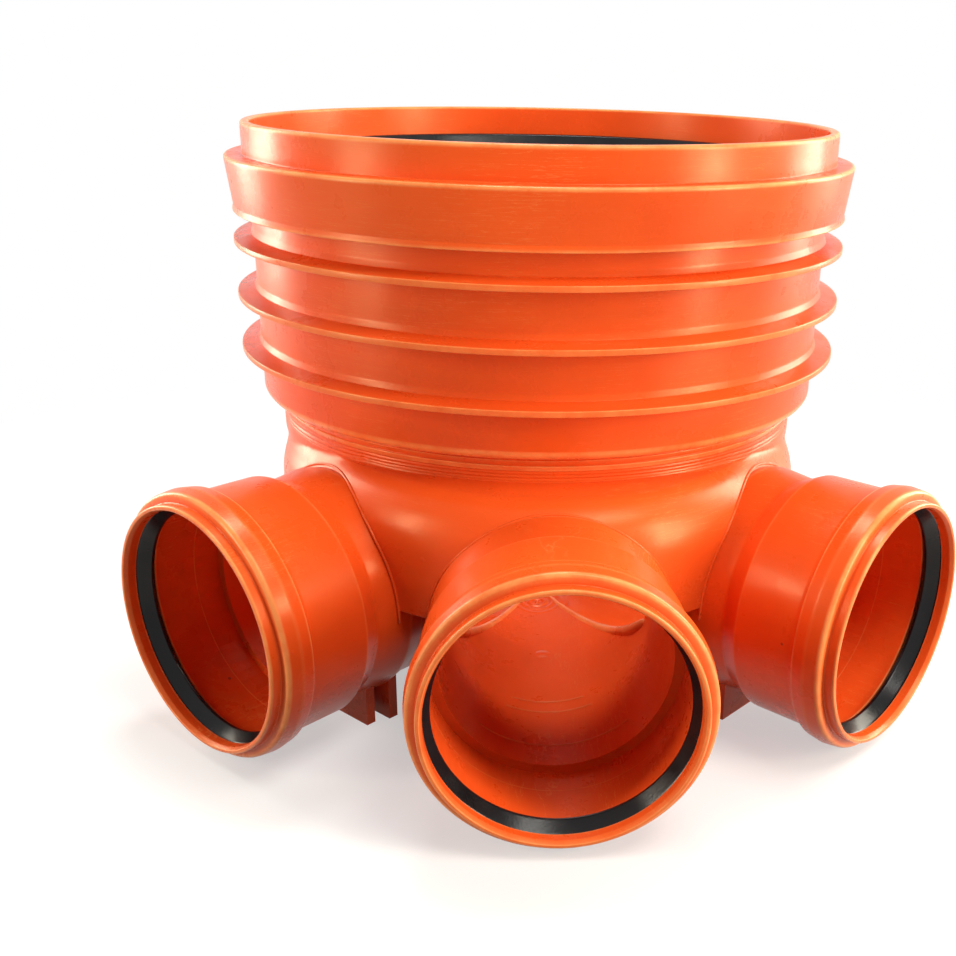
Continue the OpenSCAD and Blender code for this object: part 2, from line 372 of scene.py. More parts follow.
def blend(s, how, amount, low, high):
    """Colour mix of two sockets or colours by an amount."""
    node = s.add("ShaderNodeMixRGB", blend_type=how)
    for key, value in (("Fac", amount), ("Color1", low), ("Color2", high)):
        if isinstance(value, bpy.types.NodeSocket):
            s.join(value, node.inputs[key])
        else:
            node.inputs[key].default_value = value if key == "Fac" else (*value, 1.0)
    return node.outputs["Color"]


def product(s, first, second):
    """Product of two values."""
    node = s.add("ShaderNodeMath", operation="MULTIPLY")
    s.join(first, node.inputs[0])
    if isinstance(second, bpy.types.NodeSocket):
        s.join(second, node.inputs[1])
    else:
        node.inputs[1].default_value = second
    return node.outputs[0]


def stretched(s, place, scale, turn):
    """Coordinates stretched and turned, for marks that run one way."""
    node = s.add("ShaderNodeMapping", Scale=scale, Rotation=turn)
    s.join(place, node.inputs["Vector"])
    return node.outputs["Vector"]


def plastic_finish():
    """Moulded polypropylene: satin skin with a slow drift of colour, flow streaks, a painted highlight
    along edges, hair scratches, a few dark specks, and fine orange peel over shallow sink waves."""
    colours = bpy.context.scene.chamber_colours
    s = Shader("orange_polypropylene")
    place = s.add("ShaderNodeTexCoord").outputs["Object"]
    base = np.array(colours.plastic)
    deep = tuple(base * np.array([0.86, 0.74, 0.7]))
    light = tuple(np.minimum(base * np.array([1.08, 1.16, 1.2]), 1.0))
    colour = s.ramp(noise(s, place, 5.0, 4.0, 0.55), [(0.32, deep), (0.68, light)])
    streaks = noise(s, stretched(s, place, (2.0, 2.0, 26.0), (0.0, 0.0, 0.3)), 3.0, 3.0, 0.6)
    colour = blend(s, "MIX", s.ramp(streaks, [(0.5, 0.0), (0.8, 0.35)]), colour, light)
    # painted highlight: paler along edges, broken up by noise
    edge = s.add("ShaderNodeAttribute", attribute_name="edge").outputs["Fac"]
    painted_edge_highlight = product(s, edge, s.ramp(noise(s, place, 45.0, 4.0, 0.7), [(0.25, 0.3), (0.6, 1.0)]))
    pale = tuple(np.minimum(base * np.array([1.12, 3.4, 7.5]) + 0.01, 1.0))
    colour = blend(s, "MIX", product(s, painted_edge_highlight, 0.8), colour, pale)
    # hair scratches, in patches and running two ways
    for turn, size in (((0.35, 0.6, 0.2), 4.0), ((1.1, -0.4, 0.9), 6.0)):
        line = noise(s, stretched(s, place, (3.0, 3.0, 90.0), turn), size, 5.0, 0.6)
        hairs = s.ramp(line, [(0.494, 0.0), (0.5, 1.0), (0.506, 0.0)])
        patch = s.ramp(noise(s, place, 7.0 + size, 2.0), [(0.54, 0.0), (0.68, 0.6)])
        colour = blend(s, "MIX", product(s, hairs, patch), colour, pale)
    # specks in the melt
    cells = s.add("ShaderNodeTexVoronoi", Scale=30.0, Randomness=1.0)
    s.join(place, cells.inputs["Vector"])
    dot = s.ramp(cells.outputs["Distance"], [(0.030, 1.0), (0.045, 0.0)])
    chosen = s.ramp(cells.outputs["Color"], [(0.72, 0.0), (0.74, 1.0)])
    colour = blend(s, "MIX", product(s, product(s, dot, chosen), 0.7), colour, (0.16, 0.02, 0.006))
    s.join(colour, s.surface.inputs["Base Color"])
    skin = s.ramp(noise(s, place, 22.0, 5.0, 0.65), [(0.3, 0.22), (0.7, 0.38)])
    skin = blend(s, "ADD", product(s, hairs, 0.2), skin, (1.0, 1.0, 1.0))
    s.join(skin, s.surface.inputs["Roughness"])
    peel = s.add("ShaderNodeBump", Strength=0.12, Distance=0.0005)
    s.join(noise(s, place, 380.0, 3.0), peel.inputs["Height"])
    pits = s.add("ShaderNodeBump", Strength=0.5, Distance=0.0004)
    s.join(dot, pits.inputs["Height"])
    s.join(peel.outputs["Normal"], pits.inputs["Normal"])
    waves = s.add("ShaderNodeBump", Strength=0.5, Distance=0.0035)
    s.join(noise(s, place, 9.0, 1.5), waves.inputs["Height"])
    s.join(pits.outputs["Normal"], waves.inputs["Normal"])
    s.join(waves.outputs["Normal"], s.surface.inputs["Normal"])
    s.surface.inputs["IOR"].default_value = 1.49
    s.surface.inputs["Specular IOR Level"].default_value = 0.34
    s.surface.inputs["Specular Tint"].default_value = (1.0, 0.74, 0.42, 1.0)
    return s.material


def rubber_finish():
    """Moulded seal rubber: near black, faintly streaked, with a soft sheen."""
    colours = bpy.context.scene.chamber_colours
    s = Shader("black_ring_rubber")
    place = s.add("ShaderNodeTexCoord").outputs["Object"]
    base = np.array(colours.rubber)
    cloud = noise(s, place, 30.0, 4.0)
    colour = s.ramp(cloud, [(0.35, tuple(base)), (0.75, tuple(base * 1.6))])
    s.join(colour, s.surface.inputs["Base Color"])
    skin = s.ramp(noise(s, place, 60.0, 3.0), [(0.3, 0.14), (0.7, 0.26)])
    s.join(skin, s.surface.inputs["Roughness"])
    s.surface.inputs["Specular IOR Level"].default_value = 0.2
    grain = s.add("ShaderNodeBump", Strength=0.15, Distance=0.0004)
    s.join(noise(s, place, 700.0, 2.0), grain.inputs["Height"])
    s.join(grain.outputs["Normal"], s.surface.inputs["Normal"])
    return s.material


def finish_of(name, maker):
    """A finish, made once."""
    return bpy.data.materials.get(name) or maker()


# ---------------------------------------------------------------- outlines, in millimetres


# The riser socket's ledge below the rim, its collar and its ribs
RIM_H, COLLAR_H = 22.0, 37.7
RIB_PITCH, RIB_OUT = 38.4, 14.0
# How deep the two kinds of groove are, and how far behind a ledge or a mouth they start and stop
RISER_GROOVE, RISER_GROOVE_ENDS = 19.5, (6.3, 30.3)
DRAIN_GROOVE, DRAIN_GROOVE_ENDS = 7.8, (9.5, 23.5)
SEAL_GAP = 0.2


def riser_outline():
    """Wall of the riser socket, from the weld up its outside, over the rim and down its inside."""
    bore = RISER_BORE_R / MM
    weld, rim = WELD_Z / MM, RIM_Z / MM
    barrel, under, ledge = bore + 11.8, weld + 11.0, rim - RIM_H
    collar = ledge - COLLAR_H
    groove = bore + RISER_GROOVE
    top_of_groove, foot_of_groove = (ledge - end for end in RISER_GROOVE_ENDS)
    outside = [(bore - 2.0, weld, 0.0), (bore - 0.4, weld + 3.4, 0.9), (bore - 1.6, weld + 3.9, 0.5)]
    outside += [(bore - 0.9, weld + 7.2, 0.9), (bore - 1.4, weld + 7.7, 0.5), (bore - 0.6, under, 1.2)]
    outside += [(barrel, under, 8.5)]
    for z in [under + 35.3 + RIB_PITCH * i for i in range(3)]:
        tip = barrel + RIB_OUT
        outside += [(barrel, z - 1.9, 1.0), (tip, z - 1.9, 0.4), (tip + 0.1, z, 0.0)]
        outside += [(tip, z + 1.9, 0.5), (barrel + 1.6, z + 5.0, 0.6), (barrel, z + 8.8, 4.0)]
    top = bore + 28.6
    outside += [(barrel, collar, 1.0), (top - 3.4, collar, 0.7), (top - 3.9, collar + 2.6, 1.5)]
    outside += [(top - 4.3, collar + 4.2, 1.5), (top, ledge, 2.0), (bore + 15.6, ledge, 1.0)]
    outside += [(bore + 15.5, rim, 2.2)]
    seat = under + 6.3
    inside = [(bore + 9.2, rim, 1.6), (bore + 7.5, top_of_groove, 1.0), (groove, top_of_groove, 1.0)]
    inside += [(groove, foot_of_groove, 1.0), (bore, foot_of_groove, 1.0), (bore, ledge - 50.3, 2.0)]
    inside += [(bore + 5.5, ledge - 55.8, 3.0), (bore + 5.5, seat + 25.5, 3.0), (bore, seat + 20.0, 2.0)]
    inside += [(bore, seat, 0.8), (bore - 10.0, seat, 1.0), (bore - 10.0, weld, 0.0)]
    return rounded(outside + inside)


def socket_outline(cut):
    """Wall of a socket, from deep in the hood out along its neck and shoulder, over the bead and the lip
    and back along its bore to the cut, where a thin sleeve starts that lies over the neck's own wall."""
    bore = DRAIN_BORE_R / MM
    bead, lip, end = bore + 11.6, bore + 4.1, 28.5
    start, stop = DRAIN_GROOVE_ENDS
    outside = [(bore - 1.0, 128.0, 0.0), (bore + 2.0, 116.0, 6.0), (bore - 1.2, 89.0, 4.0)]
    outside += [(bore - 0.5, 86.6, 1.2), (bore + 3.6, 78.4, 2.0), (bore + 5.4, 74.6, 3.0)]
    outside += [(bore + 5.7, end + 4.0, 1.5), (bore + 6.4, end + 0.4, 0.8)]
    outside += [(bead - 1.6, end, 1.6), (bead, 19.0, 9.0), (bead - 1.2, 7.9, 3.0), (lip, 7.5, 0.8)]
    outside += [(lip, 0.0, 1.5), (bore + 1.4, 0.0, 0.8)]
    groove = bore + DRAIN_GROOVE
    inside = [(bore, 3.0, 1.0), (bore, start, 0.7), (groove, start, 1.0), (groove, stop, 1.0)]
    inside += [(bore, stop, 0.7), (bore, cut, 0.0), (bore + 4.0, cut, 0.0), (bore + 3.0, 74.0, 0.0)]
    inside += [(bore - 4.0, 87.0, 0.0), (bore - 4.0, 128.0, 0.0)]
    return rounded(outside + inside)


def drain_seal_outline(lean):
    """Ring seal of a drain socket: a heel that fills its groove, and a lip that leans in to the pipe."""
    bore = DRAIN_BORE_R / MM
    heel = bore + DRAIN_GROOVE - SEAL_GAP
    lip, front, back = bore - lean / MM, 9.7, 23.3
    points = [(heel, front, 1.0), (heel, back, 1.0), (bore + 1.0, back, 1.2), (lip, 20.8, 1.3)]
    points += [(lip - 0.6, 18.6, 0.8), (bore + 0.6, 11.0, 1.5), (bore + 1.6, front, 0.8)]
    return rounded(points)


def riser_seal_outline(lean):
    """Ring seal of the riser: a heel in its groove, a collar inside the rim, and a lip that leans in to
    the pipe."""
    bore, ledge = RISER_BORE_R / MM, RIM_Z / MM - RIM_H
    heel = bore + RISER_GROOVE - SEAL_GAP
    lip, top, foot = bore - lean / MM, ledge - 6.5, ledge - 30.1
    points = [(heel, foot, 1.0), (heel, top, 1.0), (bore + 7.3, top, 0.0), (bore + 7.3, ledge, 1.0)]
    points += [(bore + 4.0, ledge - 1.0, 1.5), (lip, ledge - 14.0, 1.6), (lip, ledge - 16.5, 1.4)]
    points += [(bore + 4.0, ledge - 16.0, 2.0), (bore + 4.0, ledge - 25.0, 2.0)]
    points += [(bore + 1.0, ledge - 28.0, 1.5), (bore + 1.0, foot, 0.8)]
    return rounded(points)


# ---------------------------------------------------------------- hood and channels

WELD_NECK_H = 9.5
ROOF = WELD_Z / MM - WELD_NECK_H
SHOULDER_H, SHOULDER_W = 38.0, 30.0
HOOD_FOOT = AXIS_Z / MM + 6.5
TUB_R, WELD_R = RISER_BORE_R / MM - 4.5, RISER_BORE_R / MM - 2.0
FLOW_R, CHANNEL_WALL = 74.4, 4.4
# The dome and the two noses: radius, distance of the middle along the main run, width of the blend
HOOD_FORMS = ((199.0, 27.0, 0.0), (165.0, 86.0, 22.0), (165.0, -86.0, 22.0))
# How far the visible skin stands off the solid, and how deep its inner side lies
SKIN, SKIN_DEPTH = 0.25, 2.2
# The bars that open the runs: how far off the riser's axis they start, how short of the mouth they
# stop, and how much wider than the flow they are
BAR_START, BAR_STOP, BAR_WIDER = 110.0, 20.0, 3.0


# Groins between the channels: name, direction in degrees, length, and radius where they are widest
GROINS = (
    ("left_groin", -22.5, 188.0, 5.5),
    ("right_groin", 22.5, 188.0, 5.5),
    ("rear_left_groin", -112.5, 66.0, 3.0),
    ("rear_right_groin", 112.5, 66.0, 3.0),
)
# Moulding steps in each channel: depth from the mouth in metres, and spread in radians
TOOL_MARKS = ((0.098, 0.75), (0.141, 0.42), (0.155, 0.36))


def circle_reach(radius, middle, t):
    """Distance from the riser's axis to the far side of a circle, in direction t from the front: with
    its middle at a distance c along the run it is c cos t + sqrt(R squared - (c sin t) squared)."""
    left = radius**2 - (middle * np.sin(t)) ** 2
    return middle * np.cos(t) + np.sqrt(np.maximum(left, 1.0))


def soft_max(a, b, width):
    """The larger of a and b, rounded where they cross: (width - |a - b|) squared / (4 width) more."""
    if width <= 0:
        return np.maximum(a, b)
    return np.maximum(a, b) + np.maximum(width - np.abs(a - b), 0.0) ** 2 / (4.0 * width)


def hood_reach(z, t, soft=1.0):
    """Plan reach of the hood at height z: the largest of the tub, the dome and the two noses, whose
    radii shrink over the shoulder as a quarter ellipse, with the tub flared into the weld neck."""
    rise = np.clip((z - (ROOF - SHOULDER_H)) / SHOULDER_H, 0.0, 1.0)
    shrink = SHOULDER_W * (1.0 - np.sqrt(1.0 - rise**2))
    flare = np.clip((z - (ROOF - 20.0)) / 14.0, 0.0, 1.0)
    reach = TUB_R + (WELD_R + 0.1 - TUB_R) * flare * flare * (3.0 - 2.0 * flare) + 0.0 * t
    for radius, middle, width in HOOD_FORMS:
        reach = soft_max(reach, circle_reach(radius - shrink, middle, t), soft * max(width, 5.0))
    return reach


def hood_grid(turns):
    """Closed wall of the hood as rows of (r, z) carried round the riser's axis: up the outside, over the
    shoulder and the roof, up the ridged weld neck, and back down inside the wall."""
    t = np.linspace(0, 2 * math.pi, turns, endpoint=False)[:, None]
    lift = np.linspace(0, 0.5 * math.pi, 26)
    shoulder = ROOF - SHOULDER_H + SHOULDER_H * np.sin(lift)
    z = np.r_[HOOD_FOOT + 0.6, HOOD_FOOT + 12.0, HOOD_FOOT + 26.0, shoulder]
    outer = hood_reach(z[None], t) + SKIN
    edge = outer[:, -1:]
    fillet = np.clip(edge - WELD_R - 0.2, 0.0, 2.2)
    a = np.linspace(0, 0.5 * math.pi, 6)[None]
    weld_r = WELD_R + SKIN + fillet * (1 - np.sin(a))
    weld_z = ROOF + SKIN + fillet * (1 - np.cos(a))
    up = np.linspace(0.0, 1.0, 40)[None]
    ridge = 0.22 * np.sin(up * 3.0 * 2 * math.pi) ** 3 + 0.10 * np.sin(up * 17.0) - 0.10
    neck_top = ROOF + WELD_NECK_H - 0.05
    neck_z = weld_z[:, -1:] + (neck_top - weld_z[:, -1:]) * up
    neck_r = WELD_R + SKIN + ridge * np.sin(math.pi * up) ** 0.5 + 0 * t
    inner_z = np.r_[neck_top, ROOF + 2.0, z[::-1]]
    inner = hood_reach(inner_z[None], t, 0.0) - SKIN_DEPTH
    inner[:, :2] = WELD_R - 2.0
    foot_r = np.concatenate([inner[:, -1:], outer[:, :1] - 0.6], 1)
    r = np.concatenate([outer, weld_r, neck_r, inner, foot_r], 1)
    rows = [outer * 0 + z, weld_z, neck_z, inner * 0 + inner_z, foot_r * 0 + HOOD_FOOT - 0.15]
    height = np.concatenate(rows, 1)
    return np.stack([r * np.sin(t), -r * np.cos(t), height], -1) * MM


def open_runs(hood):
    """Takes the four runs' bores out of the hood with a round bar for each, from some way off the
    riser's axis to near the mouth. The bar's radius lies inside the neck's wall, which hides the cut."""
    for _, turn, reach in RUNS:
        start, stop = BAR_STOP * MM, reach - BAR_START * MM
        shift = mathutils.Matrix.Translation((0.0, 0.0, (start + stop) / 2))
        body = bmesh.new()
        place = mathutils.Matrix(at_mouth(turn, reach).tolist()) @ shift
        size = (FLOW_R + BAR_WIDER) * MM
        bmesh.ops.create_cone(
            body,
            cap_ends=True,
            segments=96,
            radius1=size,
            radius2=size,
            depth=stop - start,
            matrix=place,
        )
        bmesh.ops.recalc_face_normals(body, faces=body.faces)
        bar = bpy.data.objects.new("bar", bpy.data.meshes.new("bar"))
        body.to_mesh(bar.data)
        body.free()
        bpy.context.scene.collection.objects.link(bar)
        cut = hood.modifiers.new("run", "BOOLEAN")
        cut.operation, cut.solver, cut.object = "DIFFERENCE", "EXACT", bar
        done = bpy.data.meshes.new_from_object(hood.evaluated_get(bpy.context.evaluated_depsgraph_get()))
        hood.modifiers.clear()
        hood.data = done
        bpy.data.objects.remove(bar)
    body = bmesh.new()
    body.from_mesh(hood.data)
    bmesh.ops.remove_doubles(body, verts=body.verts, dist=3e-5)
    bmesh.ops.dissolve_degenerate(body, dist=1e-5, edges=body.edges)
    bmesh.ops.triangulate(body, faces=body.faces)
    body.to_mesh(hood.data)
    body.free()


def neck_seam(turn, reach):
    """Line where a neck comes out of the hood: on the neck's circle at angle a from its side, the first
    distance inwards at which the neck's point lies inside the hood's reach and under its shoulder."""
    a = np.linspace(-0.04, math.pi + 0.04, 121)[:, None]
    outwards = np.array([math.sin(math.radians(turn)), -math.cos(math.radians(turn))])
    sideways = np.array([outwards[1], -outwards[0]])
    along = np.linspace(reach / MM - 90.0, 150.0, 600)[None]
    neck = DRAIN_BORE_R / MM + 1.8
    x, y = (outwards[k] * along + sideways[k] * neck * np.cos(a) for k in (0, 1))
    z = AXIS_Z / MM + neck * np.sin(a) + 0 * along
    inside = np.hypot(x, y) < hood_reach(np.minimum(z, ROOF), np.arctan2(x, -y)) + SKIN
    first = np.argmax(inside, axis=1)
    rows = np.arange(len(a))
    path = np.stack([x[rows, first], y[rows, first], z[rows, first]], -1)
    smoothed = (np.roll(path, 1, 0) + 2 * path + np.roll(path, -1, 0)) / 4
    path[1:-1] = smoothed[1:-1]
    return path * MM


def groin(turn, limit, widest):
    """Rounded ridge between two channels, as a path and its radii. It leaves the middle in a direction
    and rises as the channels' round walls part: with o its distance from their axes, the ridge lies at
    axis - sqrt(flow radius squared - o squared), and the round's size follows the wall under it."""
    half = abs(math.sin(math.radians(turn if abs(turn) < 90 else 180 - abs(turn))))
    out = np.linspace(6.0, limit, 80)
    o = out * half
    down = np.sqrt(FLOW_R**2 - o**2)
    wall = np.sqrt((DRAIN_BORE_R / MM) ** 2 - o**2) - down
    radius = np.minimum((wall - 0.4) / 1.8, widest)
    a = math.radians(turn)
    path = np.stack([out * math.sin(a), -out * math.cos(a), AXIS_Z / MM - down - 0.8 * radius], -1)
    return path * MM, radius * MM


def floor_mark(middle, reach, height):
    """Round mark on the main channel's floor: with d the distance from its middle, its skin lies
    height(d) above the channel's round floor, axis - sqrt(flow radius squared - x squared), and its
    underside is sunk into the wall."""
    skin_rows, sunk = 64, 2.5
    d = np.r_[np.linspace(0.0, reach, skin_rows), np.linspace(reach, 0.0, 10)[1:]][:, None]
    a = np.linspace(0, 2 * math.pi, 96, endpoint=False)[None]
    x, y = d * np.cos(a), d * np.sin(a) + middle
    lift = np.where(np.arange(len(d))[:, None] < skin_rows, height(d / reach, d), -sunk)
    z = AXIS_Z / MM - np.sqrt(FLOW_R**2 - x**2) + lift
    return np.stack([x, y, z + 0 * a], -1) * MM


def gate_rings(part, d):
    """Rings that die away from the middle, 0.75 cos(2 pi d / 6.5) (1 - part), with the rim sunk in."""
    return 0.75 * np.cos(2 * math.pi * d / 6.5) * (1 - part) + 0.3 - 0.8 * part**6


def blister(part, _):
    """Low dome with a dip round it, 0.9 cos(0.85 pi part), with the rim sunk in."""
    return 0.9 * np.cos(0.85 * math.pi * part) + 0.2 - 0.3 * part**6


# Round marks on the main channel's floor: name, place along the run, reach, and height over the floor
FLOOR_MARKS = (
    ("gate_mark", -36.0, 27.0, gate_rings),
    ("floor_blister", -128.0, 9.0, blister),
)


def tool_mark(turn, reach, depth, spread):
    """Arc of a shallow moulding step across a channel's floor: at a depth from the mouth, on the flow
    radius, from minus to plus an angle about straight down."""
    a = np.linspace(-spread, spread, 60)
    t = math.radians(turn)
    outwards = np.array([math.sin(t), -math.cos(t), 0.0])
    sideways = np.array([math.cos(t), math.sin(t), 0.0])
    middle = outwards * (reach - depth) + np.array([0.0, 0.0, AXIS_Z])
    ring = np.sin(a)[:, None] * sideways - np.cos(a)[:, None] * np.array([0.0, 0.0, 1.0])
    return middle + ring * (FLOW_R + 0.15) * MM


def shade_rounds(mesh):
    """Gives the body's copy its corner normals: where a triangle's corners all lie on one of the body's
    cylinders they point straight out from its axis, and elsewhere the triangle's own normal stays."""
    corners = np.empty(len(mesh.loops), np.int32)
    mesh.loops.foreach_get("vertex_index", corners)
    points = np.empty(len(mesh.vertices) * 3, np.float32)
    mesh.vertices.foreach_get("co", points)
    flat = np.empty(len(mesh.polygons) * 3, np.float32)
    mesh.polygons.foreach_get("normal", flat)
    p = points.reshape(-1, 3)[corners].reshape(-1, 3, 3) / MM
    flat = flat.reshape(-1, 1, 3)
    normals = np.repeat(flat, 3, axis=1)
    well_r = WELD_R - 8.0
    axes = [(np.array([0.0, 0.0, 0.0]), np.array([0.0, 0.0, 1.0]), (well_r, TUB_R, WELD_R))]
    for _, turn, _ in RUNS[:3]:
        a = math.radians(turn)
        along = np.array([math.sin(a), -math.cos(a), 0.0])
        radii = (FLOW_R, FLOW_R + CHANNEL_WALL, DRAIN_BORE_R / MM)
        axes.append((np.array([0.0, 0.0, AXIS_Z / MM]), along, radii))
    for origin, along, radii in axes:
        d = p - origin
        away = d - (d @ along)[..., None] * along
        r = np.linalg.norm(away, axis=-1)
        unit = away / np.maximum(r, 1e-6)[..., None]
        facing = (flat * unit).sum(-1)
        for radius in radii:
            on = (np.abs(r - radius) < 0.02).all(1) & (np.abs(facing) > 0.8).all(1)
            normals[on] = (unit * np.sign(facing)[..., None])[on]
    mesh.polygons.foreach_set("use_smooth", np.ones(len(mesh.polygons), bool))
    mesh.normals_split_custom_set(normals.reshape(-1, 3))


def cut_body(mesh, cut):
    """Merges the body's loose triangles and takes off its socket ends at flat planes across the runs,
    then closes each cut with a ring of faces. What is cut is listed in a fixed order, so that flat faces
    are split into the same triangles on every run."""
    body = bmesh.new()
    body.from_mesh(mesh)
    bmesh.ops.remove_doubles(body, verts=body.verts, dist=1e-6)
    for _, turn, reach in RUNS:
        a = math.radians(turn)
        outwards = mathutils.Vector((math.sin(a), -math.cos(a), 0.0))
        level = reach - cut
        point = (outwards[0] * level, outwards[1] * level, AXIS_Z)
        near = [f for f in body.faces if f.calc_center_median().dot(outwards) > level - 0.06]
        corners = list(dict.fromkeys(v for f in near for v in f.verts))
        sides = list(dict.fromkeys(e for f in near for e in f.edges))
        geom = corners + sides + near
        done = bmesh.ops.bisect_plane(
            body, geom=geom, dist=1e-6, plane_co=point, plane_no=outwards, clear_outer=True
        )
        edges = [e for e in done["geom_cut"] if isinstance(e, bmesh.types.BMEdge)]
        bmesh.ops.bridge_loops(body, edges=edges)
    bmesh.ops.triangulate(body, faces=body.faces)
    body.to_mesh(mesh)
    body.free()


# ---------------------------------------------------------------- operators


class DRAIN_OT_riser(bpy.types.Operator):
    """Makes the ribbed riser socket"""

    bl_idname = "drain.riser"
    bl_label = "Riser socket"

    def execute(self, context):
        sizes = context.scene.chamber_sizes
        plastic = finish_of("orange_polypropylene", plastic_finish)
        piece = revolve("riser_barrel", riser_outline(), sizes.turns)
        smooth(piece, 28.0)
        settle(piece, "moulded_plastic", plastic, "riser_socket")
        return {"FINISHED"}


class DRAIN_OT_base(bpy.types.Operator):
    """Makes the domed body and its four socket ends"""

    bl_idname = "drain.base"
    bl_label = "Base"

    def execute(self, context):
        sizes = context.scene.chamber_sizes
        plastic = finish_of("orange_polypropylene", plastic_finish)
        source = frame["nodes"]["base"]
        mesh = source.data.copy()
        mesh.name = "body"
        cut_body(mesh, sizes.socket_cut)
        body = bpy.data.objects.new("body", mesh)
        context.scene.collection.objects.link(body)
        shade_rounds(mesh)
        settle(body, "moulded_plastic", plastic, "base")
        hood = lofted("hood", hood_grid(HOOD_TURNS), round_rows=True)
        open_runs(hood)
        smooth(hood, 32.0)
        settle(hood, "moulded_plastic", plastic)
        for name, middle, reach, height in FLOOR_MARKS:
            mark = lofted(name, floor_mark(middle, reach, height))
            smooth(mark, 60.0)
            settle(mark, "moulded_plastic", plastic)
        for name, turn, limit, widest in GROINS:
            ridge = tube(name, *groin(turn, limit, widest), sides=24)
            # painted highlight along the whole groin ridge
            mark_edge(ridge, 1.0)
            settle(ridge, "moulded_plastic", plastic)
        for name, turn, reach in RUNS:
            seam = tube(name + "_seam", neck_seam(turn, reach), SEAM_R)
            settle(seam, "moulded_plastic", plastic)
            for k, (depth, spread) in enumerate(TOOL_MARKS, 1):
                path = tool_mark(turn, reach, depth, spread)
                mark = tube(f"{name}_mark_{k}", path, MARK_R, sides=8)
                # painted highlight along the moulding step, at 0.6 of full
                mark_edge(mark, 0.6)
                settle(mark, "moulded_plastic", plastic)
        outline = socket_outline(sizes.socket_cut / MM)
        for name, turn, reach in RUNS:
            end = revolve(name + "_socket", outline, SOCKET_TURNS, at_mouth(turn, reach))
            smooth(end, 28.0)
            settle(end, "moulded_plastic", plastic)
        return {"FINISHED"}


class DRAIN_OT_seals(bpy.types.Operator):
    """Makes the ring seals of the riser and of the drain sockets"""

    bl_idname = "drain.seals"
    bl_label = "Ring seals"

    def execute(self, context):
        sizes = context.scene.chamber_sizes
        rubber = finish_of("black_ring_rubber", rubber_finish)
        ring = revolve("riser_ring", riser_seal_outline(sizes.riser_seal_lean), sizes.turns)
        smooth(ring, 30.0)
        settle(ring, "seal_rubber", rubber, "riser_seal")
        outline = drain_seal_outline(sizes.seal_lean)
        for name, turn, reach in RUNS:
            ring = revolve(name + "_ring", outline, SOCKET_TURNS, at_mouth(turn, reach))
            smooth(ring, 30.0)
            settle(ring, "seal_rubber", rubber, name + "_seal")
        return {"FINISHED"}


# Lamps: name, place, width and height, power in watts, colour. All of them face LAMP_AIM.
NEUTRAL, WARM, PLAIN = (1.0, 0.97, 0.9), (1.0, 0.92, 0.76), (1.0, 1.0, 1.0)
LAMP_AIM = (0.0, 0.0, 0.2)
LAMPS = (
    ("key", (0.75, -0.95, 2.05), (1.0, 0.8), 31.0, NEUTRAL),
    ("right_strip", (1.7, -1.05, 0.62), (0.4, 1.2), 47.0, WARM),
    ("left_strip", (-1.75, -0.75, 0.62), (0.25, 1.2), 24.0, WARM),
    ("top", (-0.05, 0.4, 2.2), (0.6, 0.6), 25.5, PLAIN),
    ("left_edge", (-1.45, 0.85, 0.6), (0.5, 1.2), 25.0, WARM),
    ("right_edge", (1.55, 0.55, 0.7), (0.6, 1.3), 32.0, WARM),
)
# Strength of the surroundings for light that falls on the chamber, and half the floor's side
GLOW = 0.08
FLOOR_HALF = 6.0
# How much of its colour the floor throws back as diffuse light
FLOOR_RETURN = 0.28
# Camera: place, and yaw to the right, pitch down and roll in degrees. The focal length and the shift
# are in widths of the image.
CAMERA_PLACE = (-0.0461, -0.9375, 0.4494)
CAMERA_TURN = (4.091, 23.36, 1.266)
SENSOR_MM = 36.0
FOCAL_WIDTHS = 1.2502092
SHIFT_WIDTHS = 0.0857741


def area_light(name, place, size, power, colour):
    """A soft oblong lamp that faces the chamber."""
    lamp = bpy.data.lights.new(name, "AREA")
    lamp.shape, lamp.size, lamp.size_y = "RECTANGLE", size[0], size[1]
    lamp.energy, lamp.color = power, colour
    obj = bpy.data.objects.new(name, lamp)
    bpy.context.scene.collection.objects.link(obj)
    obj.location = place
    direction = np.array(LAMP_AIM) - np.array(place)
    flat = math.hypot(direction[0], direction[1])
    turn = math.atan2(-direction[0], direction[1])
    obj.rotation_euler = (math.atan2(flat, -direction[2]), 0.0, turn)


def sees_background(nodes, links):
    """1 for the camera's rays and for those that a surface mirrors or lets through, 0 for the rest."""
    paths = nodes.new("ShaderNodeLightPath")
    total = paths.outputs["Is Camera Ray"]
    for kind in ("Is Glossy Ray", "Is Transmission Ray"):
        both = nodes.new("ShaderNodeMath")
        both.operation = "MAXIMUM"
        links.new(total, both.inputs[0])
        links.new(paths.outputs[kind], both.inputs[1])
        total = both.outputs[0]
    return total


